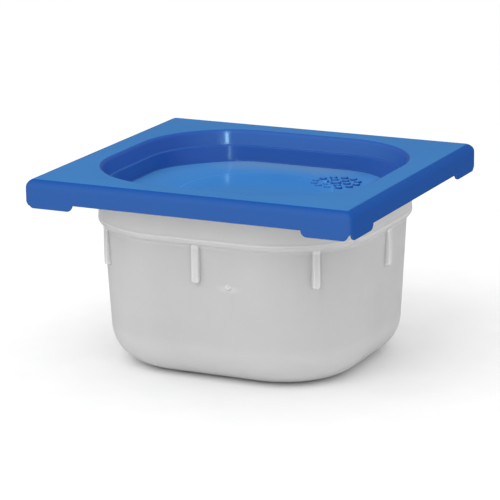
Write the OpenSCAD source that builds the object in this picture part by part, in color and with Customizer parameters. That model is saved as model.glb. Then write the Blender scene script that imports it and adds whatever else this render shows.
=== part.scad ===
// Gastronorm 1/6 food pan, 100 mm deep, with a push-fit lid.
// Millimetres, +Z up. The origin is the centre of the foot, and the front is -Y.

/* [Footprint] */
// Length of the pan's flange, along X
flange_length = 175; // [172:1:178]
// Width of the pan's flange, along Y
flange_width = 161; // [158:1:164]
// Distance between the centres of the rounded corners, along X
core_length = 50; // [46:1:54]
// Distance between the centres of the rounded corners, along Y
core_width = 36; // [32:1:40]

/* [Pan] */
// Height of the pan, from its foot to the top of the flange
pan_height = 100.4; // [98:0.2:110]
// Thickness of the walls
wall = 2; // [1.6:0.1:2.2]
// Thickness of the floor
floor_thickness = 2.4; // [2:0.1:3]
// Reach of the lower body from the corner centres, just under the ledge
body_reach = 48.5; // [47.5:0.1:49]
// Reach of the stacking band from the corner centres
band_reach = 51.3; // [51:0.1:52]
// Height of the ledge's lower edge
ledge_height = 73.6; // [70:0.2:75]
// Lean of the lower body's walls, in degrees
draft_angle = 3.3; // [2:0.1:5]
// Radius between the foot and the walls
foot_radius = 20.2; // [14:0.2:24]
// Thickness of the flange
flange_thickness = 2.2; // [1.8:0.1:2.6]
// Depth of the flange's turned-down lip
lip_depth = 8; // [5:0.5:8.5]

/* [Stacking ribs] */
// Width of a stacking rib
rib_width = 3.8; // [3:0.2:6]
// Height at which a rib ends
rib_foot = 54; // [48:0.5:60]
// Distance of a side's rib from the middle of its side
rib_shift = 2.1; // [0:0.1:3]
// Direction of the front right and back left ribs from the X axis, in degrees
right_rib_angle = 47; // [43:1:49]
// Direction of the front left and back right ribs from the X axis, in degrees
left_rib_angle = 44; // [41:1:49]

/* [Lid] */
// Thickness of the lid's plate
plate = 2.4; // [2:0.1:3]
// Thickness of the skirt
skirt_wall = 1.7; // [1.4:0.1:2]
// Gap between the flange and the skirt, all round
skirt_gap = 0.8; // [0.7:0.1:1]
// Depth of the skirt from the lid's top, between the corner tabs
skirt_depth = 11.5; // [11:0.5:13]
// Radius of the lid's top edge
edge_radius = 4.4; // [3.6:0.2:4.8]
// Depth of the corner tabs from the lid's top
tab_depth = 14.7; // [14:0.1:16]
// Length of a corner tab along its side, measured on the skirt's lower edge
tab_length = 27; // [20:1:34]
// Reach of a snap bead, inwards from the skirt
bead_reach = 0.65; // [0.3:0.05:0.65]

/* [Recess] */
// Depth of the lid's recess
recess_depth = 16.4; // [15:0.2:18]
// Depth of the step in the recess's wall
step_depth = 8; // [7:0.2:9]
// Reach of the recess's rim from the corner centres
rim_reach = 50.4; // [50:0.1:50.8]
// Radius of the raised disc on the recess's floor
disc_radius = 41; // [30:1:42]
// Height of the rosette above the floor, twice that of the disc
relief = 1; // [0.6:0.1:1.4]

/* [Hidden] */
$fn = 96;
overlap = 1;
arc_steps = 8;

pan_colour = [0.80, 0.80, 0.79];
lid_colour = [0.20, 0.42, 0.72];

core = [core_length / 2, core_width / 2];
flange_half = [flange_length / 2, flange_width / 2];
flange_corner = 3;
flange_edge = 1.8;
lip_wall = 2;
ledge_rise = 3;
band_lean = 0.35;
mouth_radius = 1.6;
rib_stand = 1.5;
rib_chamfer = 1;
pip_place = [15.4, 53];
pip_size = 1.5;
pip_stand = 0.4;

// Half sizes of the lid: the skirt's inside and its outside
skirt_inside = [flange_half[0] + skirt_gap, flange_half[1] + skirt_gap];
lid_half = [skirt_inside[0] + skirt_wall, skirt_inside[1] + skirt_wall];
lid_top = pan_height + plate;
skirt_bottom = lid_top - skirt_depth;
tab_bottom = lid_top - tab_depth;
lid_corner = 2.6;
skirt_corner = 0.9;
tab_slope = 3;
tab_round = 0.6;
notch_reach = 4;
notch_tip = 0.4;
bead_clear = 2.4;
bead_slope = 1;
recess_floor = lid_top - recess_depth;
step_height = lid_top - step_depth;
step_reach = rim_reach - 5.2;
floor_reach = rim_reach - 6.4;
rim_round = 2.4;
step_round = 0.5;
recess_fillet = 0.9;
plug_bottom = recess_floor - wall;
plug_fillet = 2.4;
plug_taper = 0.6;
plug_reach = band_reach - wall - 0.1;
rosette_place = [31.1, 33];
inner_ring = [6.2, 6];
outer_ring = [11.5, 12];
dot_radius = 2;

// Points along an arc, from one angle to another
function arc(centre, radius, from, to) = [
    for (i = [0 : arc_steps])
        let (a = from + (to - from) * i / arc_steps)
            centre + radius * [cos(a), sin(a)]
];

// Points of the ledge's quarter round, from the body's wall out to the band
function ledge_round(inside, outside, low) = [
    for (i = [0 : arc_steps])
        let (a = 270 + 90 * i / arc_steps)
            [inside + (outside - inside) * cos(a), low + ledge_rise * (1 + sin(a))]
];

// The same points on the other side of the middle, in the order that closes the outline
function mirrored(points) = [
    for (i = [len(points) - 1 : -1 : 0])
        [-points[i][0], points[i][1]]
];

// The lower body's reach from the corner centres at a height
function body_reach_at(z) = body_reach - (ledge_height - z) * tan(draft_angle);

// Centre of the foot's arc, tangent to the ground and to the leaning wall
function foot_centre(radius, inset) = [
    body_reach_at(radius + inset) - inset - radius / cos(draft_angle),
    radius + inset
];

// Turns a section drawn as [reach, height] into a solid whose corners are revolved and
// whose sides are straight
module around_core() {
    for (sx = [-1, 1], sy = [-1, 1])
        translate([sx * core[0], sy * core[1], 0])
            rotate([0, 0, sx > 0 ? (sy > 0 ? 0 : 270) : (sy > 0 ? 90 : 180)])
                rotate_extrude(angle = 90)
                    children();
    for (side = [0, 1])
        rotate([0, 0, 180 * side]) {
            translate([core[0], core[1], 0])
                rotate([90, 0, 0])
                    linear_extrude(core_width)
                        children();
            translate([-core[0], core[1], 0])
                rotate([90, 0, 90])
                    linear_extrude(core_length)
                        children();
        }
}

// The same, filled in over the core
module filled_round(low, high) {
    around_core()
        children();
    translate([-core[0], -core[1], low])
        cube([core_length, core_width, high - low]);
}

// A rectangle with round corners
module rounded_rectangle(half, radius) {
    square(2 * [half[0] - radius, half[1]], center = true);
    square(2 * [half[0], half[1] - radius], center = true);
    for (sx = [-1, 1], sy = [-1, 1])
        translate([sx * (half[0] - radius), sy * (half[1] - radius)])
            circle(radius);
}

// A block with a rounded top edge
module soft_topped_block(half, top, bottom, edge, corner) {
    intersection() {
        translate([0, half[1], 0])
            rotate([90, 0, 0])
                linear_extrude(2 * half[1])
                    soft_topped_outline(half[0], top, bottom, edge);
        translate([-half[0], 0, 0])
            rotate([90, 0, 90])
                linear_extrude(2 * half[0])
                    soft_topped_outline(half[1], top, bottom, edge);
        translate([0, 0, bottom])
            linear_extrude(top - bottom)
                rounded_rectangle(half, corner);
    }
}

module soft_topped_outline(half, top, bottom, edge) {
    polygon(concat(
        [[-half, bottom], [half, bottom]],
        arc([half - edge, top - edge], edge, 0, 90),
        arc([edge - half, top - edge], edge, 90, 180)
    ));
}

/* Pan */

module pan_outer_section() {
    polygon(concat(
        [[0, 0]],
        arc(foot_centre(foot_radius, 0), foot_radius, 270, 360 - draft_angle),
        ledge_round(body_reach, band_reach - band_lean, ledge_height),
        [
            [band_reach, pan_height - overlap],
            [0, pan_height - overlap]
        ]
    ));
}

module pan_inner_section() {
    inner_ledge = ledge_height + wall;
    mouth = band_reach - wall + 0.2;
    inner_reach = body_reach_at(inner_ledge) - wall;
    polygon(concat(
        [[0, floor_thickness]],
        arc(foot_centre(foot_radius - wall, floor_thickness), foot_radius - wall, 270, 360 - draft_angle),
        ledge_round(inner_reach, mouth - band_lean, inner_ledge),
        arc([mouth + mouth_radius, pan_height - mouth_radius], mouth_radius, 180, 90),
        [
            [mouth + mouth_radius, pan_height + overlap],
            [0, pan_height + overlap]
        ]
    ));
}

module flange() {
    difference() {
        soft_topped_block(flange_half, pan_height, pan_height - lip_depth, flange_edge, flange_corner);
        translate([0, 0, pan_height - lip_depth - overlap])
            linear_extrude(lip_depth + overlap - flange_thickness)
                rounded_rectangle([flange_half[0] - lip_wall, flange_half[1] - lip_wall], lip_wall);
    }
}

// One rib, standing on the wall that faces +X
module rib() {
    top = ledge_height + ledge_rise / 2;
    reach = body_reach + rib_stand;
    inside = body_reach_at(rib_foot) - wall / 2;
    rotate([90, 0, 0])
        translate([0, 0, -rib_width / 2])
            linear_extrude(rib_width)
                polygon([
                    [inside, rib_foot],
                    [reach - rib_chamfer, rib_foot],
                    [reach, rib_foot + rib_chamfer],
                    [reach, top],
                    [inside, top]
                ]);
}

module stacking_ribs() {
    for (side = [0, 1])
        rotate([0, 0, 180 * side]) {
            translate([core[0], rib_shift, 0])
                rib();
            translate([rib_shift, core[1], 0])
                rotate([0, 0, 90])
                    rib();
            translate([core[0], core[1], 0])
                rotate([0, 0, left_rib_angle])
                    rib();
            translate([-core[0], core[1], 0])
                rotate([0, 0, 180 - right_rib_angle])
                    rib();
        }
}

// A small round moulding mark on the front wall
module front_pip() {
    reach = body_reach_at(pip_place[1]) + pip_stand;
    translate([pip_place[0], -core[1] - reach, pip_place[1]])
        rotate([-90, 0, 0])
            cylinder(r = pip_size, h = wall);
}

module pan() {
    color(pan_colour)
        difference() {
            union() {
                filled_round(0, pan_height - overlap)
                    pan_outer_section();
                flange();
                stacking_ribs();
                front_pip();
            }
            filled_round(floor_thickness, pan_height + overlap)
                pan_inner_section();
        }
}

/* Lid */

module recess_section() {
    polygon(concat(
        [[0, recess_floor]],
        arc([floor_reach - recess_fillet, recess_floor + recess_fillet], recess_fillet, 270, 355),
        arc([step_reach + step_round, step_height - step_round], step_round, 175, 90),
        arc([step_reach + 0.3, step_height + recess_fillet], recess_fillet, 290, 340),
        arc([rim_reach, lid_top - rim_round], rim_round, 160, 90),
        [[rim_reach, lid_top + overlap], [0, lid_top + overlap]]
    ));
}

module plug_section() {
    polygon(concat(
        [[0, plug_bottom]],
        arc([floor_reach + wall - plug_fillet, plug_bottom + plug_fillet], plug_fillet, 270, 355),
        [
            [step_reach + wall, step_height - wall],
            [plug_reach - plug_taper, step_height],
            [plug_reach, pan_height - mouth_radius],
            [plug_reach + plug_taper, pan_height],
            [plug_reach + plug_taper, pan_height + overlap],
            [0, pan_height + overlap]
        ]
    ));
}

// Cuts the skirt's lower edge between the tabs of one pair of opposite sides
module skirt_opening(half_side, half_across) {
    low = half_side - tab_length + tab_slope;
    high = half_side - tab_length;
    right = [
        [low, tab_bottom - overlap],
        [low, tab_bottom],
        [low - tab_round, tab_bottom + 1],
        [high + tab_round, skirt_bottom - 1],
        [high, skirt_bottom]
    ];
    rotate([90, 0, 0])
        translate([0, 0, -half_across - overlap])
            linear_extrude(2 * (half_across + overlap))
                polygon(concat(right, mirrored(right)));
}

// A V cut that parts the two tabs of the corner at half
module corner_notch(half) {
    spread = notch_reach * sqrt(2) / 2;
    right = [
        [spread + overlap, tab_bottom - overlap],
        [spread, tab_bottom + notch_tip],
        [spread / 2, tab_bottom + 1.4],
        [notch_tip, skirt_bottom]
    ];
    translate([half[0] - 2 * notch_reach, half[1] - 2 * notch_reach, 0])
        rotate([0, 0, 45])
            rotate([90, 0, 90])
                linear_extrude(4 * notch_reach)
                    polygon(concat(right, mirrored(right)));
}

module corner_notches() {
    for (corner = [0 : 3])
        rotate([0, 0, 90 * corner])
            corner_notch(corner % 2 == 0 ? lid_half : [lid_half[1], lid_half[0]]);
}

// One bead on the inside of a tab whose skirt stands at inside, centred at along
module snap_bead(inside, along, length) {
    low = tab_bottom + tab_round;
    high = pan_height - lip_depth - 0.3;
    translate([0, along, 0])
        rotate([90, 0, 0])
            translate([0, 0, -length / 2])
                linear_extrude(length)
                    polygon([
                        [inside + skirt_wall / 2, low],
                        [inside, low],
                        [inside - bead_reach, low + bead_slope],
                        [inside - bead_reach, high - bead_slope],
                        [inside, high],
                        [inside + skirt_wall / 2, high]
                    ]);
}

// Beads inside the tabs, just under the flange's lip
module snap_beads() {
    length = tab_length - tab_slope - notch_reach - 2 * bead_clear;
    inset = notch_reach + bead_clear + length / 2;
    for (turn = [0 : 3], side = [-1, 1])
        rotate([0, 0, 90 * turn])
            snap_bead(skirt_inside[turn % 2], side * (lid_half[(turn + 1) % 2] - inset), length);
}

module skirted_plate() {
    difference() {
        soft_topped_block(lid_half, lid_top, tab_bottom, edge_radius, lid_corner);
        soft_topped_block(skirt_inside, pan_height, tab_bottom - overlap, flange_edge, skirt_corner);
        skirt_opening(lid_half[0], lid_half[1]);
        rotate([0, 0, 90])
            skirt_opening(lid_half[1], lid_half[0]);
        corner_notches();
    }
}

// A ring of raised dots, given as its radius and how many dots it has
module dot_ring(ring, height) {
    for (i = [0 : ring[1] - 1])
        rotate([0, 0, i * 360 / ring[1]])
            translate([ring[0], 0, 0])
                cylinder(r = dot_radius, h = height);
}

// Two plain rings of raised dots round a larger one
module rosette() {
    height = wall / 2 + relief;
    translate([rosette_place[0], rosette_place[1], recess_floor - wall / 2]) {
        cylinder(r = 1.4 * dot_radius, h = height);
        dot_ring(inner_ring, height);
        dot_ring(outer_ring, height);
    }
}

module raised_disc() {
    translate([0, 0, recess_floor - wall / 2])
        cylinder(r = disc_radius, h = wall / 2 + relief / 2);
}

module lid() {
    color(lid_colour) {
        difference() {
            union() {
                skirted_plate();
                filled_round(recess_floor - wall, pan_height + overlap)
                    plug_section();
                snap_beads();
            }
            filled_round(recess_floor, lid_top + overlap)
                recess_section();
        }
        raised_disc();
        rosette();
    }
}

pan();
lid();
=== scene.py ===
"""Looks of the lidded food container: a milky plastic pan and its blue press-on lid.

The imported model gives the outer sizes. Both mouldings are rebuilt here with their fillets, ribs,
tabs and beads, each as one closed skin of rings that run round the outline.
Lengths are millimetres until a mesh, lamp or camera is made from them.
"""
import math

import bmesh
import bpy
from mathutils import Matrix, Vector


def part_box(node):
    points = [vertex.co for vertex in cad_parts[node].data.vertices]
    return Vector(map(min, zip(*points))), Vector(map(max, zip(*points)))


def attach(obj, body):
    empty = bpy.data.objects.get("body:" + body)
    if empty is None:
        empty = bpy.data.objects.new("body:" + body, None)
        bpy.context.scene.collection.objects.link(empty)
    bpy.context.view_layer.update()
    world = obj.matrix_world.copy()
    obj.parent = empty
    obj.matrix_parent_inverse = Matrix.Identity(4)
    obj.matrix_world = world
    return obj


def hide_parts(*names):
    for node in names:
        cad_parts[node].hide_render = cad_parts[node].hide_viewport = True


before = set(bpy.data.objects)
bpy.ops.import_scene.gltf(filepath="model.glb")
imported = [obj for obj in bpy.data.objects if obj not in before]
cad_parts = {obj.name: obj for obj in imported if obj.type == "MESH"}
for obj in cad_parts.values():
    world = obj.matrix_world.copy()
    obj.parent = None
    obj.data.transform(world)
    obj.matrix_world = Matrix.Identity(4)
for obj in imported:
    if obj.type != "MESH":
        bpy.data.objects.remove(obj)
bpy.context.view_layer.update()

MM = 0.001


def cad_half(node):
    """Half the length and half the width of a CAD node."""
    low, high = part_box(node)
    return (high.x - low.x) / 2 / MM, (high.y - low.y) / 2 / MM


# Sizes. Both mouldings are offsets of one small rectangle, the core, whose corners are the
# centres of every rounded corner. A "reach" is a distance out from the core.
PAN_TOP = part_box("pan")[1].z / MM
LID_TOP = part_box("lid")[1].z / MM
CORE = (25.0, 18.0)
FLANGE_SPAN = cad_half("pan")[0] - CORE[0]
LID_SPAN = cad_half("lid")[0] - CORE[0]

# Pan
WALL = 2.0
FLOOR_TOP = 2.4
BODY_REACH = 48.5
BAND_REACH = 51.3
BAND_LEAN = 0.35
BAND_FILLET = 0.8
LEDGE_HEIGHT = 73.6
LEDGE_RISE = 3.0
LEDGE_TOP = LEDGE_HEIGHT + LEDGE_RISE
LEDGE_LIP = 0.35
LEDGE_FILLET = 1.9
LEDGE_FILLET_DROP = 1.4
DRAFT = math.radians(3.3)
FOOT_RADIUS = 20.2
FLANGE_THICKNESS = 2.2
FLANGE_UNDERSIDE = PAN_TOP - FLANGE_THICKNESS
FLANGE_CORNER = 3.0
FLANGE_EDGE = 1.8
LIP_DEPTH = 8.0
LIP_WALL = 2.0
MOUTH_REACH = BAND_REACH - WALL + 0.2
MOUTH_RADIUS = 1.6
RIB_HALF_WIDTH = 1.9
RIB_REACH = 50.0
RIB_FOOT = 54.0
RIB_SHIFT = 2.1
RIGHT_RIB_DEGREES = 47.0
LEFT_RIB_DEGREES = 44.0
RIB_ROUND = 1.7
PIP_PLACE = (15.4, 53.0)
PIP_RADIUS = 1.5
PIP_STAND = 0.4
# Half sizes of the painted highlight round the pip.
PIP_GLOW = (6.0, 1.8)

# Lid
SKIRT_WALL = 1.7
SKIRT_EDGE = 0.45
SKIRT_BOTTOM = LID_TOP - 11.5
SKIRT_INSIDE = LID_SPAN - SKIRT_WALL
TAB_BOTTOM = LID_TOP - 14.7
TAB_DROP = SKIRT_BOTTOM - TAB_BOTTOM
LID_EDGE = 4.4
LID_CORNER = 2.6
SKIRT_INSIDE_CORNER = LID_CORNER - SKIRT_WALL
LID_TOP_CORNER = 1.3
TAB_LENGTH = 27.0
TAB_ROUND = 3.0
NOTCH_REACH = 4.4
BEAD_REACH = 0.65
BEAD_START = 6.5
BEAD_END = 21.0
BEADS_TOP = SKIRT_BOTTOM + 1.4
RECESS_FLOOR = LID_TOP - 16.4
RIM_REACH = 50.4
RIM_ROUND = 2.4
STEP_HEIGHT = LID_TOP - 8.0
STEP_REACH = RIM_REACH - 5.2
STEP_ROUND = 0.5
STEP_FILLET = 1.0
FLOOR_REACH = RIM_REACH - 6.8
FLOOR_SWELL = 1.6
RECESS_FILLET = 0.9
PLUG_BOTTOM = RECESS_FLOOR - WALL
PLUG_FILLET = 2.4
PLUG_TAPER = 0.6
PLUG_REACH = BAND_REACH - WALL - 0.1
DISC_RADIUS = 41.0
DISC_RISE = 0.5
ROSETTE_PLACE = (31.1, 33.0)
ROSETTE_RINGS = ((6.2, 6), (11.5, 12))
DOT_RADIUS = 2.0
DOT_RISE = 0.9

# Greys of the pan. Two are for the slow clouds in the plastic. The others are painted light and
# shade: paler at the foot, on the band and under the ledge, darker on the ledge's quarter round, a
# painted highlight on its lip and round the pip, a painted shade line under the pip, and darker at
# the outlines. Each zone has its lowest and highest height, the width of its soft edge, and its grey.
CLOUD_GREYS = (0.55, 0.59)
# Painted light: paler at the foot, and on the band under the lid's skirt.
FOOT_PAINTED_LIGHT_GREY = 0.66
BAND_PAINTED_LIGHT_GREY = 0.65
# Painted light and shade at the ledge: paler in the crease under it, darker on its quarter round, and
# a painted highlight along its lip.
LEDGE_PAINTED_LIGHT_ZONES = {
    "under the ledge": (LEDGE_HEIGHT - 1.2, LEDGE_HEIGHT, 0.8, 0.64),
    "quarter round": (LEDGE_HEIGHT + 0.4, LEDGE_TOP - 0.5, 0.4, 0.54),
    "lip of the ledge": (LEDGE_TOP, LEDGE_TOP + 0.5, 0.2, 0.66),
}
# Painted highlight round the pip, and a painted shade line under it.
PIP_PAINTED_HIGHLIGHT_GREY = 0.66
PIP_PAINTED_SHADE_GREY = 0.42
# Painted shade at the outlines, where the pan turns side-on to the camera.
OUTLINE_PAINTED_SHADE_GREY = 0.28
FRONT_REACH = 46.0  # further out than this, on the -Y side, is the front wall

# Blues of the lid, with painted light. The pairs of the skirt and walls are lit and shaded copies,
# for faces towards the front (-Y), then for the others; the recess's wall is painted lighter above
# its step. The cloud pair is for the slow clouds on level faces, painted lighter as lit from above.
# The floor is painted paler at its edge, with a painted reflection at the back and a painted
# highlight at the disc's edge.
SKIRT_LIT_AND_SHADED_BLUES = ((0.026, 0.100, 0.345), (0.008, 0.077, 0.335))
HIGH_WALL_LIT_AND_SHADED_BLUES = ((0.040, 0.136, 0.435), (0.022, 0.091, 0.380))
LOW_WALL_LIT_AND_SHADED_BLUES = ((0.029, 0.107, 0.400), (0.018, 0.083, 0.370))
# Slow clouds on level faces, which are painted paler as lit from above.
CLOUDS_AND_PAINTED_TOP_LIGHT_BLUES = ((0.037, 0.203, 0.530), (0.041, 0.214, 0.555))
FLOOR_EDGE_PAINTED_LIGHT_BLUE = (0.070, 0.262, 0.585)
FAR_FLOOR_PAINTED_REFLECTION_BLUE = (0.150, 0.315, 0.550)
DISC_EDGE_PAINTED_HIGHLIGHT_BLUE = (0.060, 0.262, 0.625)

# Camera. Angles are in degrees, and azimuth 0 looks along +Y.
CAMERA_AZIMUTH = 25.541
CAMERA_ELEVATION = 14.811
CAMERA_ROLL = -0.671
CAMERA_DISTANCE = 1444.0
CAMERA_TARGET = (-3.308, 0.0, 54.358)
CAMERA_LENS = 199.18
CAMERA_SHIFT = (-0.001, 0.001)
SENSOR_WIDTH = 36.0

# Light. A spark is a small lamp for one highlight on the lid: its name, its turn from the camera's
# azimuth, its elevation and its watts.
HORIZON_LIGHT = 1.15
OVERHEAD_LIGHT = 1.1
REFLECTED_SURROUNDINGS = 0.07
KEY_AZIMUTH = -12
KEY_ELEVATION = 48
KEY_DISTANCE = 1.6
KEY_SIZE = 1.2
KEY_WATTS = 6.5
SPARKS = (
    ("spark_high", 0, 50, 10.0),
    ("spark_wall", -0.3, 19, 1.6),
    ("spark_low", 7, 15.5, 0.65),
)
SPARK_DISTANCE = 2.2
SPARK_SIZE = 0.05
SPARK_COLOUR = (0.45, 0.85, 1.0)


# ---------------------------------------------------------------- outline


def steps(start, end, count):
    """Evenly spaced numbers from start to end, both included."""
    return [start + (end - start) * i / count for i in range(count + 1)]


def smooth(value):
    """0 up to 0, 1 from 1 on, and an S between."""
    value = min(max(value, 0.0), 1.0)
    return value * value * (3 - 2 * value)


class Column:
    """One place round the outline, the same on every ring.

    x, y is its point on the core, and out_x, out_y the direction out of it. share says how far
    along each side of the outer rectangle's corner it lies, turn is the direction out there,
    and walk is its distance along that outline from the middle of the corner.
    """

    def __init__(self, x, y, sign_x, sign_y, degrees, span, radius):
        cos, sin = math.cos(math.radians(degrees)), math.sin(math.radians(degrees))
        straight = span - radius
        self.x, self.y = x, y
        self.sign_x, self.sign_y = sign_x, sign_y
        self.degrees = degrees
        self.out_x, self.out_y = sign_x * cos, sign_y * sin
        half_arc = radius * math.pi / 4
        if span * sin <= straight * cos:
            self.share = (1.0, span * sin / cos / straight)
            self.turn = (1.0, 0.0)
            self.walk = half_arc + straight * (1 - self.share[1])
        elif span * cos <= straight * sin:
            self.share = (span * cos / sin / straight, 1.0)
            self.turn = (0.0, 1.0)
            self.walk = half_arc + straight * (1 - self.share[0])
        else:
            middle = straight * (cos + sin)
            reach = middle + math.sqrt(middle**2 - 2 * straight**2 + radius**2)
            self.share = (1.0, 1.0)
            self.turn = ((reach * cos - straight) / radius, (reach * sin - straight) / radius)
            self.walk = radius * abs(math.atan2(self.turn[1], self.turn[0]) - math.pi / 4)

    def at_reach(self, reach):
        """The point at a distance out from the core."""
        return self.x + reach * self.out_x, self.y + reach * self.out_y

    def at_span(self, span, radius):
        """The point on a rectangle that stands span out from the core, with round corners."""
        straight = span - radius
        x = straight * self.share[0] + radius * self.turn[0]
        y = straight * self.share[1] + radius * self.turn[1]
        return self.x + self.sign_x * x, self.y + self.sign_y * y


def make_outline(span, radius, corner_degrees, side_places, end_places):
    """Columns all the way round, anticlockwise from the middle of the +X end.

    corner_degrees go from an end to a side of each corner. side_places are along the sides
    that face Y, and end_places along the ends that face X, from their middles.
    """
    columns = []
    for corner, (sx, sy) in enumerate(((1, 1), (-1, 1), (-1, -1), (1, -1))):
        flipped = corner % 2 == 1
        for degrees in sorted(set(corner_degrees), reverse=flipped):
            columns.append(Column(sx * CORE[0], sy * CORE[1], sx, sy, degrees, span, radius))
        if flipped:
            for place in sorted(set(end_places)):
                columns.append(Column(sx * CORE[0], -sy * place, sx, sy, 0, span, radius))
        else:
            for place in sorted(set(side_places)):
                columns.append(Column(-sx * place, sy * CORE[1], sx, sy, 90, span, radius))
    return columns


# ---------------------------------------------------------------- rings and skins


def of_column(value, column):
    """A value that may be a number or a function of the column."""
    return value(column) if callable(value) else value


def reach_ring(columns, reach, height):
    """A ring at a reach from the core."""
    return [(*c.at_reach(of_column(reach, c)), of_column(height, c)) for c in columns]


def profile_rings(columns, profile):
    """One ring for each (reach, height) of a profile."""
    return [reach_ring(columns, reach, height) for reach, height in profile]


def span_ring(columns, span, radius, height):
    """A ring on a rectangle with round corners."""
    return [(*c.at_span(of_column(span, c), radius), of_column(height, c)) for c in columns]


def round_ring(columns, radius, height):
    """A circle about the Z axis, each point in the direction of the recess floor's edge."""
    ring = []
    for column in columns:
        x, y = column.at_reach(FLOOR_REACH)
        scale = radius / math.hypot(x, y)
        ring.append((x * scale, y * scale, height))
    return ring


def shrunk_ring(ring, scale, height):
    """A ring pulled in towards the Z axis."""
    return [(x * scale, y * scale, height) for x, y, _ in ring]


def arc(reach, height, radius, start, end, count=6):
    """Points (reach, height) along an arc, from one angle in degrees to another."""
    angles = [math.radians(a) for a in steps(start, end, count)]
    return [(reach + radius * math.cos(a), height + radius * math.sin(a)) for a in angles]


def ledge_arc(inside, outside, low, count=8):
    """Points (reach, height) up the ledge's quarter round, from the body out to the band."""
    angles = [math.radians(a) for a in steps(270, 360, count)]
    width = outside - inside
    return [(inside + width * math.cos(a), low + LEDGE_RISE * (1 + math.sin(a))) for a in angles]


def skin(name, rings):
    """A closed mesh over a list of rings. Each end is closed by a fan to the Z axis."""
    bm = bmesh.new()
    layers = [[bm.verts.new([c * MM for c in point]) for point in ring] for ring in rings]
    count = len(rings[0])
    for lower, upper in zip(layers, layers[1:]):
        for i in range(count):
            j = (i + 1) % count
            bm.faces.new((lower[i], lower[j], upper[j], upper[i]))
    for ring, layer in ((rings[0], layers[0]), (rings[-1], layers[-1])):
        centre = bm.verts.new((0, 0, ring[0][2] * MM))
        for i in range(count):
            bm.faces.new((centre, layer[i], layer[(i + 1) % count]))
    bmesh.ops.recalc_face_normals(bm, faces=bm.faces)
    mesh = bpy.data.meshes.new(name)
    bm.to_mesh(mesh)
    bm.free()
    obj = bpy.data.objects.new(name, mesh)
    bpy.context.scene.collection.objects.link(obj)
    return obj


def finish_skin(obj, material):
    """Smooth shading that keeps flat faces flat, and the material."""
    sharp_degrees = 40
    for polygon in obj.data.polygons:
        polygon.use_smooth = True
    obj.data.set_sharp_from_angle(angle=math.radians(sharp_degrees))
    weighted = obj.modifiers.new("flat_faces_first", "WEIGHTED_NORMAL")
    weighted.keep_sharp = True
    obj.data.materials.append(material)


# ---------------------------------------------------------------- pan


def body_reach_at(height):
    """Reach of the lower body's outside, which leans by the draft."""
    return BODY_REACH - (LEDGE_HEIGHT - height) * math.tan(DRAFT)


def foot_arc(radius, inset):
    """The round between the foot and the wall, as (reach, height) from the foot up."""
    reach = body_reach_at(radius + inset) - inset - radius / math.cos(DRAFT)
    return arc(reach, radius + inset, radius, 270, 360 - math.degrees(DRAFT), 16)


def rib_distance(column, height):
    """Distance to the nearest stacking rib's outline, less than 0 within it."""
    if column.degrees == 0:
        across = abs(column.y * column.sign_y + RIB_SHIFT)
    elif column.degrees == 90:
        across = abs(column.x * column.sign_x - RIB_SHIFT)
    else:
        left = column.sign_x == column.sign_y
        middle = LEFT_RIB_DEGREES if left else RIGHT_RIB_DEGREES
        across = BODY_REACH * abs(math.radians(column.degrees - middle))
    dx = across - RIB_HALF_WIDTH + RIB_ROUND
    dz = RIB_FOOT + RIB_ROUND - height
    outside = math.hypot(max(dx, 0), max(dz, 0))
    return outside + min(max(dx, dz), 0) - RIB_ROUND


def pip_rise(column, height):
    """Height of the small round moulding mark on the front wall."""
    if column.degrees != 90 or column.sign_y > 0:
        return 0.0
    distance = math.hypot(column.x - PIP_PLACE[0], height - PIP_PLACE[1])
    return PIP_STAND * smooth((PIP_RADIUS + 0.3 - distance) / 0.6)


def pan_outside(reach, height):
    """A function of the column: the plain reach, with the ribs and the pip standing on it."""
    def with_ribs(column):
        rib = smooth((0.45 - rib_distance(column, height)) / 0.8)
        rise = rib * max(RIB_REACH - reach, 0)
        return reach + rise + pip_rise(column, height)
    return with_ribs


def pan_outline():
    """Columns of the pan, close together where a rib or the pip has an edge."""
    edges = [RIB_HALF_WIDTH + d for d in (-1.2, -0.5, -0.35, -0.2, -0.05, 0.1, 0.25, 0.4, 0.6)]
    across = [0.0] + edges + [-e for e in edges]
    corner = steps(0, 90, 30) + steps(43.8, 46.2, 6)
    for middle in (LEFT_RIB_DEGREES, RIGHT_RIB_DEGREES):
        corner += [middle + math.degrees(a / BODY_REACH) for a in across]
    pip = [0.0] + [s * d for d in (0.6, 1.1, 1.3, 1.5, 1.7, 1.9) for s in (-1, 1)]
    sides = [-20, -16, -12, -8, 4, 8, 11, 20, 23] + [a - RIB_SHIFT for a in across]
    sides += [PIP_PLACE[0] + p for p in pip]
    ends = [-14, -10, -6, -3, 8, 12, 15] + [a + RIB_SHIFT for a in across]
    return make_outline(FLANGE_SPAN, FLANGE_CORNER, corner, sides, ends)


def pan_wall_rows():
    """Heights on the outside of the lower body, close together at the pip and rib ends."""
    pip = [PIP_PLACE[1] + d for d in (-1.9, -1.7, -1.5, -1.3, -1.1, -0.6, 0)]
    rib = [RIB_FOOT + d for d in (-0.6, -0.4, -0.2, 0, 0.2, 0.4, 0.7, 1.0, 1.4, 1.9, 3)]
    return [24, 30, 36, 42, 47] + sorted(pip + rib) + [61, 66, 70, 71.5]


def pan_foot_rings(columns):
    """From the middle of the foot, round it and up the leaning wall with its ribs."""
    foot = foot_arc(FOOT_RADIUS, 0)
    flat = reach_ring(columns, foot[0][0], 0)
    rings = [shrunk_ring(flat, scale, 0) for scale in (0.25, 0.5, 0.75, 0.95)]
    rings += profile_rings(columns, foot)
    for height in pan_wall_rows():
        rings.append(reach_ring(columns, pan_outside(body_reach_at(height), height), height))
    return rings


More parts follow.
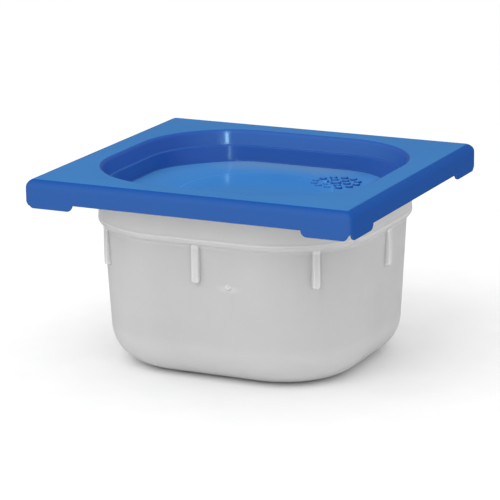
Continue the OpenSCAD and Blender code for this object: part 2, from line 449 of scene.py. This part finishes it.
def pan_band_rings(columns):
    """Over the ledge and up the band, to the fillet under the flange."""
    band_foot = BAND_REACH - BAND_LEAN
    lip_reach = band_foot + LEDGE_LIP
    fillet_height = LEDGE_HEIGHT - LEDGE_FILLET_DROP
    profile = arc(BODY_REACH + LEDGE_FILLET, fillet_height, LEDGE_FILLET, 180, 120, 5)
    profile += ledge_arc(BODY_REACH, lip_reach, LEDGE_HEIGHT)[3:]
    profile += [(lip_reach - 0.06, LEDGE_TOP + 0.15), (band_foot + 0.06, LEDGE_TOP + 0.5)]
    rings = [reach_ring(columns, pan_outside(reach, height), height) for reach, height in profile]
    band = [(band_foot + BAND_LEAN * share, LEDGE_TOP + 14 * share) for share in (0.06, 0.3, 1)]
    rings += profile_rings(columns, band)
    fillet = arc(BAND_REACH + BAND_FILLET, FLANGE_UNDERSIDE - BAND_FILLET, BAND_FILLET, 180, 90)
    return rings + profile_rings(columns, fillet)


def flange_rings(columns):
    """Rings from the flange's underside, round its lip and over its top edge."""
    lip_round = LIP_WALL / 2
    lip_centre = PAN_TOP - LIP_DEPTH + lip_round
    inside = FLANGE_SPAN - LIP_WALL
    inside_corner = FLANGE_CORNER - LIP_WALL
    rings = [span_ring(columns, inside - 0.5, inside_corner - 0.5, FLANGE_UNDERSIDE)]
    rings += [span_ring(columns, inside, inside_corner, FLANGE_UNDERSIDE - 0.5)]
    rings += [span_ring(columns, inside, inside_corner, lip_centre)]
    for across, drop in arc(0, 0, lip_round, 200, 340, 6):
        inset = lip_round - across
        ring = span_ring(columns, FLANGE_SPAN - inset, FLANGE_CORNER - inset, lip_centre + drop)
        rings.append(ring)
    edge_centre = PAN_TOP - FLANGE_EDGE
    for across, rise in arc(0, 0, FLANGE_EDGE, 0, 90, 6):
        inset = FLANGE_EDGE - across
        ring = span_ring(columns, FLANGE_SPAN - inset, FLANGE_CORNER - inset, edge_centre + rise)
        rings.append(ring)
    return rings


def pan_inside_rings(columns):
    """Over the mouth and down the inside, to the middle of the floor."""
    mouth_centre = MOUTH_REACH + MOUTH_RADIUS
    mouth = arc(mouth_centre, PAN_TOP - MOUTH_RADIUS, MOUTH_RADIUS, 90, 180)
    inner_ledge = LEDGE_HEIGHT + WALL
    inner_reach = body_reach_at(inner_ledge) - WALL
    ledge = ledge_arc(inner_reach, MOUTH_REACH - BAND_LEAN, inner_ledge)
    wall = [(body_reach_at(height) - WALL, height) for height in (73, 64, 54, 44, 34, 25)]
    foot = foot_arc(FOOT_RADIUS - WALL, FLOOR_TOP)
    rings = profile_rings(columns, mouth + ledge[::-1] + wall + foot[::-1])
    rings += [shrunk_ring(rings[-1], scale, FLOOR_TOP) for scale in (0.95, 0.75, 0.5, 0.25)]
    return rings


def pan_skin(columns):
    """Rings from the middle of the foot, up the outside, over the flange and down inside."""
    rings = pan_foot_rings(columns)
    rings += pan_band_rings(columns)
    rings += flange_rings(columns)
    rings += pan_inside_rings(columns)
    return rings


# ---------------------------------------------------------------- lid


def lid_outline():
    """Columns of the lid, close together round its corners and at the ends of its tabs."""
    round_start = TAB_LENGTH - TAB_ROUND
    tab_ends = [round_start + TAB_ROUND * math.sin(math.radians(a)) for a in steps(0, 90, 6)]
    from_corner = tab_ends + [20, 15, 10, 7]
    places = [math.degrees(math.atan2(LID_SPAN - s, LID_SPAN)) for s in from_corner]
    notch = steps(42.6, 47.4, 24)
    corner = steps(0, 42, 28) + places + notch
    corner += [90 - degrees for degrees in corner]
    corner = [round(degrees, 5) for degrees in corner]
    return make_outline(LID_SPAN, LID_CORNER, corner, steps(-20, 20, 8), steps(-14, 14, 6))


def skirt_edge(column):
    """Height of the skirt's lower edge: a tab each side of a V notch at every corner."""
    notch = min(column.walk / NOTCH_REACH, 1)
    lift = (0.5 + 0.5 * math.cos(math.pi * notch)) ** 1.3
    sharp_corner_walk = LID_CORNER * (1 - math.pi / 4)
    past = (column.walk + sharp_corner_walk - TAB_LENGTH + TAB_ROUND) / TAB_ROUND
    past = min(max(past, 0), 1)
    return TAB_BOTTOM + TAB_DROP * (lift + 1 - math.sqrt(1 - past * past))


def bead_stand(column, share):
    """How far the bead under the flange stands in from a tab, share of the way up it."""
    along = smooth((column.walk - BEAD_START) / 1.5) * smooth((BEAD_END - column.walk) / 1.5)
    return BEAD_REACH * along * share


def lid_skin(columns):
    """Rings from the middle of the recess, over the plate and skirt and back under the plug."""
    rings = recess_rings(columns)
    rings += plate_rings(columns)
    rings += skirt_rings(columns)
    rings += plug_rings(columns)
    return rings


def swelled(reach):
    """A function of the column: a reach at the recess floor, which has rounder corners."""
    return lambda column: reach + FLOOR_SWELL * math.cos(math.radians(4 * column.degrees))


def recess_rings(columns):
    """The raised disc, the floor, the stepped wall and the rim."""
    disc = RECESS_FLOOR + DISC_RISE
    rings = [round_ring(columns, DISC_RADIUS * scale, disc) for scale in (0.25, 0.5, 0.75, 0.97)]
    rings += [round_ring(columns, DISC_RADIUS - 0.5, disc)]
    rings += [round_ring(columns, DISC_RADIUS, RECESS_FLOOR)]
    fillet_reach = FLOOR_REACH - RECESS_FILLET
    fillet_height = RECESS_FLOOR + RECESS_FILLET
    for reach, height in arc(fillet_reach, fillet_height, RECESS_FILLET, 270, 352):
        rings.append(reach_ring(columns, swelled(reach), height))
    profile = arc(STEP_REACH + STEP_ROUND, STEP_HEIGHT - STEP_ROUND, STEP_ROUND, 172, 100, 5)
    profile += arc(STEP_REACH + 0.5, STEP_HEIGHT + STEP_FILLET, STEP_FILLET, 280, 345, 6)
    profile += arc(RIM_REACH, LID_TOP - RIM_ROUND, RIM_ROUND, 165, 90, 9)
    return rings + profile_rings(columns, profile)


def plate_rings(columns):
    """The rounded edge round the top of the plate."""
    rings = []
    for across, rise in arc(0, 0, LID_EDGE, 90, 0, 10):
        inset = LID_EDGE - across
        corner = LID_TOP_CORNER + (LID_CORNER - LID_TOP_CORNER) * across / LID_EDGE
        rings.append(span_ring(columns, LID_SPAN - inset, corner, LID_TOP - LID_EDGE + rise))
    return rings


def above_edge(rise):
    """A function of the column: a height above the skirt's lower edge."""
    return lambda column: skirt_edge(column) + rise


def bead_ring(columns, share, stand):
    """A ring inside the skirt, share of the way up from its edge to the top of the beads."""
    def span(column):
        return SKIRT_INSIDE - bead_stand(column, stand)

    def height(column):
        edge = skirt_edge(column)
        return edge + (BEADS_TOP - edge) * share

    return span_ring(columns, span, SKIRT_INSIDE_CORNER, height)


def skirt_rings(columns):
    """Down the outside of the skirt, round its lower edge and up past the beads."""
    rings = [span_ring(columns, LID_SPAN, LID_CORNER, SKIRT_BOTTOM + 2.5)]
    for across, drop in arc(0, 0, SKIRT_EDGE, 0, -90, 3):
        inset = SKIRT_EDGE - across
        height = above_edge(SKIRT_EDGE + drop)
        rings.append(span_ring(columns, LID_SPAN - inset, LID_CORNER - inset, height))
    for across, drop in arc(0, 0, SKIRT_EDGE, 270, 180, 3):
        outset = SKIRT_EDGE + across
        height = above_edge(SKIRT_EDGE + drop)
        ring = span_ring(columns, SKIRT_INSIDE + outset, SKIRT_INSIDE_CORNER + outset, height)
        rings.append(ring)
    for share, stand in ((0.2, 0), (0.3, 0.7), (0.4, 1), (0.62, 1), (0.72, 0.7), (0.85, 0)):
        rings.append(bead_ring(columns, share, stand))
    edge_centre = PAN_TOP - FLANGE_EDGE
    for across, rise in arc(0, 0, FLANGE_EDGE, 0, 90, 5):
        inset = FLANGE_EDGE - across
        rings.append(span_ring(columns, SKIRT_INSIDE - inset, SKIRT_INSIDE_CORNER, edge_centre + rise))
    return rings


def plug_rings(columns):
    """The plate's underside and the hollow plug, down to the middle of its foot."""
    profile = arc(PLUG_REACH + 1.6, PAN_TOP - 1.0, 1.0, 90, 170, 4)
    profile += [(PLUG_REACH, PAN_TOP - MOUTH_RADIUS - 0.4), (PLUG_REACH - PLUG_TAPER, STEP_HEIGHT)]
    profile += [(STEP_REACH + WALL, STEP_HEIGHT - WALL)]
    rings = profile_rings(columns, profile)
    foot_reach = FLOOR_REACH + WALL - PLUG_FILLET
    foot = arc(foot_reach, PLUG_BOTTOM + PLUG_FILLET, PLUG_FILLET, 355, 270, 7)
    rings += [reach_ring(columns, swelled(reach), height) for reach, height in foot]
    rings += [shrunk_ring(rings[-1], scale, PLUG_BOTTOM) for scale in (0.95, 0.7, 0.4, 0.15)]
    return rings


def dome(centre, radius, rise):
    """A low round dot on the recess floor, as a closed mesh sunk a little into it."""
    sunk = 0.6
    edge = 0.5
    turns = [math.radians(a) for a in steps(0, 360, 32)[:-1]]
    rows = [(radius + 0.05, -sunk), (radius, 0.0)]
    for angle in steps(0.35, math.pi / 2, 4):
        rows.append((radius - edge * (1 - math.cos(angle)), rise * math.sin(angle)))
    rows.append((radius * 0.4, rise * 1.04))
    bm = bmesh.new()
    layers = []
    for r, z in rows:
        ring = [(centre[0] + r * math.cos(a), centre[1] + r * math.sin(a)) for a in turns]
        layers.append([bm.verts.new((x, y, RECESS_FLOOR + z)) for x, y in ring])
    for lower, upper in zip(layers, layers[1:]):
        for i in range(len(turns)):
            j = (i + 1) % len(turns)
            bm.faces.new((lower[i], lower[j], upper[j], upper[i]))
    bm.faces.new(layers[0][::-1])
    bm.faces.new(layers[-1])
    return bm


def add_rosette(lid):
    """Joins two plain rings of raised dots round a larger one to the recess floor."""
    spots = [(ROSETTE_PLACE, 1.4 * DOT_RADIUS)]
    for ring_radius, count in ROSETTE_RINGS:
        for i in range(count):
            turn = math.tau * i / count
            x = ROSETTE_PLACE[0] + ring_radius * math.cos(turn)
            y = ROSETTE_PLACE[1] + ring_radius * math.sin(turn)
            spots.append(((x, y), DOT_RADIUS))
    mesh = bpy.data.meshes.new("dots")
    joined = bmesh.new()
    for centre, radius in spots:
        bm = dome(centre, radius, DOT_RISE)
        bm.to_mesh(mesh)
        joined.from_mesh(mesh)
        bm.free()
    joined.transform(Matrix.Scale(MM, 4))
    bmesh.ops.recalc_face_normals(joined, faces=joined.faces)
    joined.to_mesh(mesh)
    joined.free()
    dots = bpy.data.objects.new("dots", mesh)
    bpy.context.scene.collection.objects.link(dots)
    union = lid.modifiers.new("dots", "BOOLEAN")
    union.operation = "UNION"
    union.solver = "EXACT"
    union.object = dots
    bpy.context.view_layer.update()
    evaluated = lid.evaluated_get(bpy.context.evaluated_depsgraph_get())
    lid.data = bpy.data.meshes.new_from_object(evaluated)
    lid.modifiers.clear()
    bpy.data.objects.remove(dots)


# ---------------------------------------------------------------- materials


class Nodes:
    """A short way to write a node tree."""

    def __init__(self, name, tree=None):
        if tree is None:
            self.material = bpy.data.materials.new(name)
            self.material.use_nodes = True
            tree = self.material.node_tree
        self.tree = tree
        self.tree.nodes.clear()
        coordinates = self.add("ShaderNodeTexCoord").outputs
        self.place = coordinates["Object"] if name else coordinates["Generated"]

    def add(self, kind, inputs=None, **settings):
        """A node with its settings, and its inputs as values or as other nodes' outputs."""
        node = self.tree.nodes.new(kind)
        for key, value in settings.items():
            setattr(node, key, value)
        for key, value in (inputs or {}).items():
            if isinstance(value, bpy.types.NodeSocket):
                self.tree.links.new(value, node.inputs[key])
            else:
                node.inputs[key].default_value = value
        return node

    def noise(self, scale, detail, roughness=0.5):
        """A noise from 0 to 1, with its scale in waves per metre."""
        node = self.add("ShaderNodeTexNoise", {
            "Vector": self.place, "Scale": scale, "Detail": detail, "Roughness": roughness})
        return node.outputs["Fac"]

    def ranged(self, value, low, high, to_low=0.0, to_high=1.0):
        """A value between low and high, moved to another range and kept within it."""
        node = self.add("ShaderNodeMapRange", {
            "Value": value, "From Min": low, "From Max": high, "To Min": to_low, "To Max": to_high})
        return node.outputs["Result"]

    def between(self, value, low, high, soft):
        """1 for a value between low and high, falling to 0 within soft outside them."""
        rise = self.ranged(value, low - soft, low)
        fall = self.ranged(value, high, high + soft, 1.0, 0.0)
        return self.maths("MULTIPLY", rise, fall)

    def ellipse(self, x, z, half_x, half_z):
        """Distance from the point x, z of a front wall, where 1 is an ellipse of these half sizes."""
        scaled = self.add("ShaderNodeVectorMath", {
            0: self.place, 1: (1 / half_x / MM, 0, 1 / half_z / MM)}, operation="MULTIPLY").outputs[0]
        centred = self.add("ShaderNodeVectorMath", {
            0: scaled, 1: (x / half_x, 0, z / half_z)}, operation="SUBTRACT").outputs[0]
        return self.add("ShaderNodeVectorMath", {0: centred}, operation="LENGTH").outputs["Value"]

    def maths(self, operation, a, b):
        """One step of arithmetic on two values."""
        node = self.add("ShaderNodeMath", {0: a, 1: b}, operation=operation)
        return node.outputs["Value"]

    def mixed(self, factor, a, b):
        """A mix of two colours."""
        node = self.add("ShaderNodeMix", {"Factor": factor}, data_type="RGBA")
        for name, value in (("A", a), ("B", b)):
            socket = [s for s in node.inputs if s.name == name and s.type == "RGBA"][0]
            if isinstance(value, bpy.types.NodeSocket):
                self.tree.links.new(value, socket)
            else:
                socket.default_value = value
        return [s for s in node.outputs if s.type == "RGBA"][0]

    def bump(self, height, strength, distance, normal=None):
        """A normal tilted by a height, on top of another normal if one is given."""
        inputs = {"Height": height, "Strength": strength, "Distance": distance}
        if normal:
            inputs["Normal"] = normal
        return self.add("ShaderNodeBump", inputs).outputs["Normal"]

    def filtered(self):
        """1, or less in a reflection, as a polarising filter dims the pale surroundings there."""
        reflected = self.add("ShaderNodeLightPath").outputs["Is Glossy Ray"]
        return self.ranged(reflected, 0, 1, 1.0, REFLECTED_SURROUNDINGS)

    def output(self, surface):
        """Ends the tree with a shader, and returns the material."""
        self.add("ShaderNodeOutputMaterial", {"Surface": surface})
        return self.material


def colour(red, green, blue):
    """An opaque colour for a node."""
    return (red, green, blue, 1.0)


def grey(value):
    """An opaque grey for a node."""
    return colour(value, value, value)


def milky_zones(n, tone, place):
    """The pan's tone with painted light and shade by height: paler at the foot and on the band, and
    the ledge's zones.
    """
    height = place["Z"]
    # Painted light: paler towards the foot.
    tone = n.mixed(n.ranged(height, 0.004, 0.022, 1.0, 0.0), tone, grey(FOOT_PAINTED_LIGHT_GREY))
    # Painted light: paler on the band under the lid's skirt.
    band = n.ranged(height, LEDGE_TOP * MM, (LEDGE_TOP + 2.0) * MM)
    tone = n.mixed(band, tone, grey(BAND_PAINTED_LIGHT_GREY))
    # Painted light and shade in the ledge's zones.
    for low, high, soft, value in LEDGE_PAINTED_LIGHT_ZONES.values():
        tone = n.mixed(n.between(height, low * MM, high * MM, soft * MM), tone, grey(value))
    return tone


def milky_pip(n, tone, place):
    """Painted light at the small moulding mark: a pale painted highlight round it, and a painted shade
    line under it.
    """
    front_edge = -(CORE[1] + FRONT_REACH) * MM
    front = n.ranged(place["Y"], front_edge - 0.5 * MM, front_edge, 1.0, 0.0)
    # Painted highlight: a pale ellipse round the pip.
    glow = n.ellipse(PIP_PLACE[0], PIP_PLACE[1] - 1.0, *PIP_GLOW)
    glow = n.ranged(glow, 0.4, 1.3, 1.0, 0.0)
    tone = n.mixed(n.maths("MULTIPLY", glow, front), tone, grey(PIP_PAINTED_HIGHLIGHT_GREY))
    # Painted shade: a darker line round the pip's lower half.
    ring = n.between(n.ellipse(*PIP_PLACE, PIP_RADIUS, PIP_RADIUS), 0.85, 1.05, 0.2)
    ring = n.maths("MULTIPLY", ring, front)
    pip_height = PIP_PLACE[1] * MM
    lower_half = n.ranged(place["Z"], pip_height - 0.6 * MM, pip_height, 1.0, 0.0)
    return n.mixed(n.maths("MULTIPLY", ring, lower_half), tone, grey(PIP_PAINTED_SHADE_GREY))


def milky_plastic():
    """Natural polypropylene: it scatters light through its 2 mm walls."""
    n = Nodes("milky_plastic")
    place = n.add("ShaderNodeSeparateXYZ", {"Vector": n.place}).outputs
    clouds = n.noise(18, 3)
    tone = n.mixed(n.ranged(clouds, 0.3, 0.7), grey(CLOUD_GREYS[0]), grey(CLOUD_GREYS[1]))
    tone = milky_zones(n, tone, place)
    tone = milky_pip(n, tone, place)
    # Painted shade: darker where the surface turns side-on to the camera.
    facing = n.add("ShaderNodeLayerWeight", {"Blend": 0.5}).outputs["Facing"]
    tone = n.mixed(n.ranged(facing, 0.95, 0.995), tone, grey(OUTLINE_PAINTED_SHADE_GREY))
    scuffs = n.noise(260, 4, 0.65)
    rough = n.ranged(scuffs, 0.3, 0.7, 0.40, 0.52)
    grain = n.noise(2400, 2)
    normal = n.bump(grain, 0.08, 0.0004, n.bump(clouds, 0.25, 0.004))
    shader = n.add("ShaderNodeBsdfPrincipled", {
        "Base Color": tone, "Roughness": rough, "Normal": normal, "IOR": 1.49,
        "Specular IOR Level": 0.5,
        "Subsurface Weight": 1.0, "Subsurface Radius": (1.0, 1.0, 1.0), "Subsurface Scale": 0.008})
    shader.subsurface_method = "RANDOM_WALK"
    return n.output(shader.outputs["BSDF"])


def lid_walls(n, facing, place, level):
    """The lid's steep faces: the skirt outside, and the recess's walls above and below its step, with
    painted light: lighter where they face the front (-Y), and the wall lighter above its step.
    """
    normals = n.add("ShaderNodeSeparateXYZ", {"Vector": facing}).outputs
    # Painted light: faces towards the front take the lighter blue of each pair.
    front_painted_light = n.ranged(normals["Y"], -0.95, -0.45)
    skirt, high_wall, low_wall = [
        n.mixed(front_painted_light, colour(*front), colour(*other))
        for front, other in (SKIRT_LIT_AND_SHADED_BLUES, HIGH_WALL_LIT_AND_SHADED_BLUES, LOW_WALL_LIT_AND_SHADED_BLUES)]
    # Painted light: the wall above the step is lighter than below it.
    above_step = n.ranged(place["Z"], (STEP_HEIGHT - 0.6) * MM, STEP_HEIGHT * MM)
    wall = n.mixed(above_step, low_wall, high_wall)
    outward = n.add("ShaderNodeVectorMath", {0: facing, 1: level}, operation="DOT_PRODUCT")
    return n.mixed(n.ranged(outward.outputs["Value"], -0.01, 0.01), wall, skirt)


def lid_flat_share(n, upward, place):
    """How level a face is, and the share of painted top light: the same with most of the recess's step
    left out as shaded.
    """
    flat = n.ranged(upward, 0.95, 0.998)
    step_low, step_high = (STEP_HEIGHT - 1.0) * MM, (STEP_HEIGHT + 1.0) * MM
    step = n.between(place["Z"], step_low, step_high, 0.5 * MM)
    shaded = n.maths("MULTIPLY", step, n.ranged(place["X"], -0.066, -0.050, 0.0, 0.9))
    return flat, n.maths("MULTIPLY", flat, n.maths("SUBTRACT", 1.0, shaded))


def lid_floor(n, blue, flat, place, level):
    """The recess floor's painted light: paler towards its edge, a painted reflection palest at the
    back, and a painted highlight at the disc's edge.
    """
    away = n.add("ShaderNodeVectorMath", {0: level}, operation="LENGTH").outputs["Value"]
    on_floor = n.ranged(place["Z"], STEP_HEIGHT * MM, (RECESS_FLOOR + 1.0) * MM)
    # Painted light: paler towards the floor's edge.
    edge = n.maths("MULTIPLY", n.ranged(away, 0.030, 0.062), flat)
    edge = n.maths("MULTIPLY", edge, on_floor)
    blue = n.mixed(edge, blue, colour(*FLOOR_EDGE_PAINTED_LIGHT_BLUE))
    # Painted reflection: palest at the back of the floor.
    far = n.maths("MULTIPLY", n.ranged(place["Y"], 0.036, 0.058), edge)
    far = n.maths("MULTIPLY", far, n.between(place["X"], -0.035, 0.012, 0.025))
    blue = n.mixed(far, blue, colour(*FAR_FLOOR_PAINTED_REFLECTION_BLUE))
    # Painted highlight along the disc's edge.
    disc_low, disc_high = (DISC_RADIUS - 1.2) * MM, (DISC_RADIUS + 0.2) * MM
    disc = n.maths("MULTIPLY", n.between(away, disc_low, disc_high, 0.6 * MM), on_floor)
    return n.mixed(disc, blue, colour(*DISC_EDGE_PAINTED_HIGHLIGHT_BLUE))


def blue_plastic():
    """Blue polypropylene with a fine satin moulding texture."""
    n = Nodes("blue_plastic")
    facing = n.add("ShaderNodeNewGeometry").outputs["Normal"]
    upward = n.add("ShaderNodeSeparateXYZ", {"Vector": facing}).outputs["Z"]
    place = n.add("ShaderNodeSeparateXYZ", {"Vector": n.place}).outputs
    level = n.add("ShaderNodeCombineXYZ", {"X": place["X"], "Y": place["Y"]}).outputs[0]
    clouds = n.noise(22, 3)
    # Painted light: level faces take these paler cloudy blues over the walls' blues.
    top = n.mixed(n.ranged(clouds, 0.3, 0.7), colour(*CLOUDS_AND_PAINTED_TOP_LIGHT_BLUES[0]), colour(*CLOUDS_AND_PAINTED_TOP_LIGHT_BLUES[1]))
    flat, lit_flat = lid_flat_share(n, upward, place)
    blue = n.mixed(lit_flat, lid_walls(n, facing, place, level), top)
    blue = lid_floor(n, blue, flat, place, level)
    scuffs = n.noise(300, 4, 0.65)
    rough = n.ranged(scuffs, 0.3, 0.7, 0.11, 0.16)
    grain = n.noise(2600, 2)
    normal = n.bump(grain, 0.03, 0.0003, n.bump(clouds, 0.06, 0.002))
    shader = n.add("ShaderNodeBsdfPrincipled", {
        "Base Color": blue, "Roughness": rough, "Normal": normal, "IOR": 1.49,
        "Specular IOR Level": 0.5})
    return n.output(shader.outputs["BSDF"])


def floor_paint():
    """Pale matt floor that turns into the backdrop's white far from the object."""
    n = Nodes("floor_paint")
    distance = n.add("ShaderNodeVectorMath", {0: n.place}, operation="LENGTH").outputs["Value"]
    speckle = n.noise(35, 3)
    paint = n.mixed(n.ranged(speckle, 0.3, 0.7), grey(0.86), grey(0.88))
    matt = n.add("ShaderNodeBsdfDiffuse", {"Color": paint})
    glow = n.add("ShaderNodeEmission", {"Color": grey(1), "Strength": 1.0})
    far = n.ranged(distance, 0.25, 1.1)
    mix = n.add("ShaderNodeMixShader", {0: far, 1: matt.outputs[0], 2: glow.outputs[0]})
    dark = n.add("ShaderNodeBsdfDiffuse", {"Color": grey(0)})
    shown = n.add("ShaderNodeMixShader", {0: n.filtered(), 1: dark.outputs[0], 2: mix.outputs[0]})
    return n.output(shown.outputs[0])


# ---------------------------------------------------------------- stage, light and camera


def make_floor():
    """A large round floor, with rings close enough for a smooth rim."""
    mesh = bpy.data.meshes.new("floor")
    bm = bmesh.new()
    bmesh.ops.create_circle(bm, cap_ends=True, segments=96, radius=12)
    bm.to_mesh(mesh)
    bm.free()
    floor = bpy.data.objects.new("floor", mesh)
    bpy.context.scene.collection.objects.link(floor)
    floor.location.z = -0.0002
    floor.data.materials.append(floor_paint())


def make_world():
    """Plain surroundings: white to the camera, and a soft light that comes mostly from above."""
    world = bpy.data.worlds.new("studio")
    bpy.context.scene.world = world
    world.use_nodes = True
    n = Nodes("", world.node_tree)
    upward = n.add("ShaderNodeSeparateXYZ", {"Vector": n.place}).outputs["Z"]
    strength = n.ranged(upward, 0.0, 0.9, HORIZON_LIGHT, OVERHEAD_LIGHT)
    strength = n.maths("MULTIPLY", strength, n.filtered())
    light = n.add("ShaderNodeBackground", {"Color": grey(1), "Strength": strength})
    seen = n.add("ShaderNodeBackground", {"Color": grey(1), "Strength": 1.0})
    seen_directly = n.add("ShaderNodeLightPath").outputs["Is Camera Ray"]
    mix = n.add("ShaderNodeMixShader", {0: seen_directly, 1: light.outputs[0], 2: seen.outputs[0]})
    n.add("ShaderNodeOutputWorld", {"Surface": mix.outputs[0]})


def direction(azimuth, elevation):
    """Unit vector from the object towards a place seen at these angles, in degrees."""
    a, e = math.radians(azimuth), math.radians(elevation)
    return Vector((math.sin(a) * math.cos(e), -math.cos(a) * math.cos(e), math.sin(e)))


def add_softbox(name, azimuth, elevation, distance, size, watts):
    """A square lamp that faces the object and isn't seen itself. Returns the lamp."""
    data = bpy.data.lights.new(name, "AREA")
    data.size = size
    data.energy = watts
    lamp = bpy.data.objects.new(name, data)
    bpy.context.scene.collection.objects.link(lamp)
    away = direction(azimuth, elevation)
    lamp.location = away * distance + Vector((0, 0, 0.05))
    lamp.rotation_mode = "QUATERNION"
    lamp.rotation_quaternion = away.to_track_quat("Z", "Y")
    lamp.visible_camera = False
    return lamp


def add_key():
    """The large soft lamp, kept out of reflections."""
    lamp = add_softbox("key", KEY_AZIMUTH, KEY_ELEVATION, KEY_DISTANCE, KEY_SIZE, KEY_WATTS)
    lamp.visible_glossy = False


def add_sparks():
    """Small bluish lamps that show only as highlights on the glossy lid."""
    for name, turn, elevation, watts in SPARKS:
        azimuth = CAMERA_AZIMUTH + turn
        lamp = add_softbox(name, azimuth, elevation, SPARK_DISTANCE, SPARK_SIZE, watts)
        lamp.data.color = SPARK_COLOUR
        lamp.visible_diffuse = False


def add_camera():
    """The camera, at the place and with the lens that show the container as intended."""
    data = bpy.data.cameras.new("camera")
    data.sensor_width = SENSOR_WIDTH
    data.lens = CAMERA_LENS
    data.shift_x, data.shift_y = CAMERA_SHIFT
    camera = bpy.data.objects.new("camera", data)
    bpy.context.scene.collection.objects.link(camera)
    back = direction(CAMERA_AZIMUTH, CAMERA_ELEVATION)
    camera.location = Vector(CAMERA_TARGET) * MM + back * CAMERA_DISTANCE * MM
    camera.rotation_mode = "QUATERNION"
    level = back.to_track_quat("Z", "Y")
    roll = Matrix.Rotation(math.radians(CAMERA_ROLL), 4, back).to_quaternion()
    camera.rotation_quaternion = roll @ level
    bpy.context.scene.camera = camera


def make_pan():
    """The pan's moulding, riding on its body."""
    pan = skin("pan_body", pan_skin(pan_outline()))
    finish_skin(pan, milky_plastic())
    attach(pan, "pan")
    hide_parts("pan")


def make_lid():
    """The lid's moulding with its rosette, riding on its body."""
    lid = skin("lid_body", lid_skin(lid_outline()))
    add_rosette(lid)
    finish_skin(lid, blue_plastic())
    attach(lid, "lid")
    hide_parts("lid")


make_pan()
make_lid()
make_floor()
make_world()
add_key()
add_sparks()
add_camera()
bpy.context.scene.view_settings.view_transform = "Standard"
